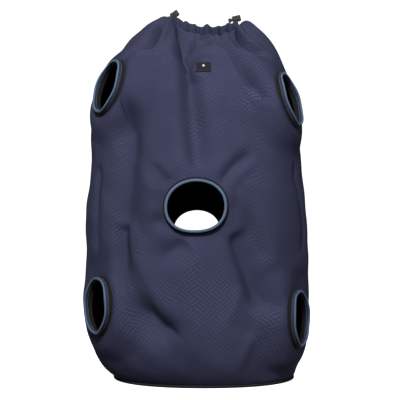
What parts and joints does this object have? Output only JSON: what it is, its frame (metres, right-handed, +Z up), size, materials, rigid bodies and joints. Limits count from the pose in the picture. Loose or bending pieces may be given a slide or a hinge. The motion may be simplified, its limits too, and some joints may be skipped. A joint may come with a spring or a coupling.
{
  "type": "hay play bag",
  "caption": "Soft navy cloth hay feeding bag on a flat oval base, with a drawcord-gathered mouth, barrel cord locks and round stand-out feeding holes bound in pale blue.",
  "frame": {"origin": "on the plane of the base's underside, below the middle of the bag", "axes": "+Z up towards the mouth, -Y out of the front with the label, +X to the viewer's right"},
  "size_m": [0.4845, 0.433, 0.8102],
  "materials": {
    "navy_cloth": "matt woven polyester with an embossed dash pattern",
    "base_cloth": "matt woven polyester",
    "black_webbing": "ribbed woven tape",
    "blue_binding": "folded woven tape with a rounded edge",
    "black_cord": "braided",
    "black_plastic": "moulded, fine grain",
    "spring_steel": "drawn wire",
    "label_cloth": "woven label",
    "label_thread": "silver-grey thread"
  },
  "bodies": {
    "bag": {"front_panel": "navy_cloth", "back_panel": "navy_cloth", "base_panel": "base_cloth", "base_seam_binding": "black_webbing", "hem_channel_front": "navy_cloth", "hem_channel_back": "navy_cloth", "collar_front": "black_webbing", "collar_back": "black_webbing", "collar_upper_left": "black_webbing", "collar_upper_right": "black_webbing", "collar_lower_left": "black_webbing", "collar_lower_right": "black_webbing", "rim_binding_front": "blue_binding", "rim_binding_back": "blue_binding", "rim_binding_upper_left": "blue_binding", "rim_binding_upper_right": "blue_binding", "rim_binding_lower_left": "blue_binding", "rim_binding_lower_right": "blue_binding", "drawcord_front": "black_cord", "drawcord_back": "black_cord", "cord_knot_left": "black_cord", "cord_knot_right": "black_cord", "label_patch": "label_cloth", "label_lozenge": "label_thread"},
    "lock_left": {"lock_housing_left": "black_plastic", "lock_spring_left": "spring_steel"},
    "plunger_left": {"lock_plunger_left": "black_plastic"},
    "lock_right": {"lock_housing_right": "black_plastic", "lock_spring_right": "spring_steel"},
    "plunger_right": {"lock_plunger_right": "black_plastic"}
  },
  "joints": [
    {"name": "lock_left_slide", "type": "slide", "parent": "bag", "child": "lock_left", "axis": [0, 1, 0], "range_m": [0, 0.02]},
    {"name": "lock_left_press", "type": "slide", "parent": "lock_left", "child": "plunger_left", "axis": [0.8192, 0, 0.5736], "range_m": [0, 0.003], "stiffness_N_per_m": 800, "springref_m": -0.003, "deforming": ["lock_spring_left"]},
    {"name": "lock_right_slide", "type": "slide", "parent": "bag", "child": "lock_right", "axis": [0, 1, 0], "range_m": [0, 0.02]},
    {"name": "lock_right_press", "type": "slide", "parent": "lock_right", "child": "plunger_right", "axis": [0.9659, 0, 0.2588], "range_m": [0, 0.003], "stiffness_N_per_m": 800, "springref_m": -0.003, "deforming": ["lock_spring_right"]}
  ]
}
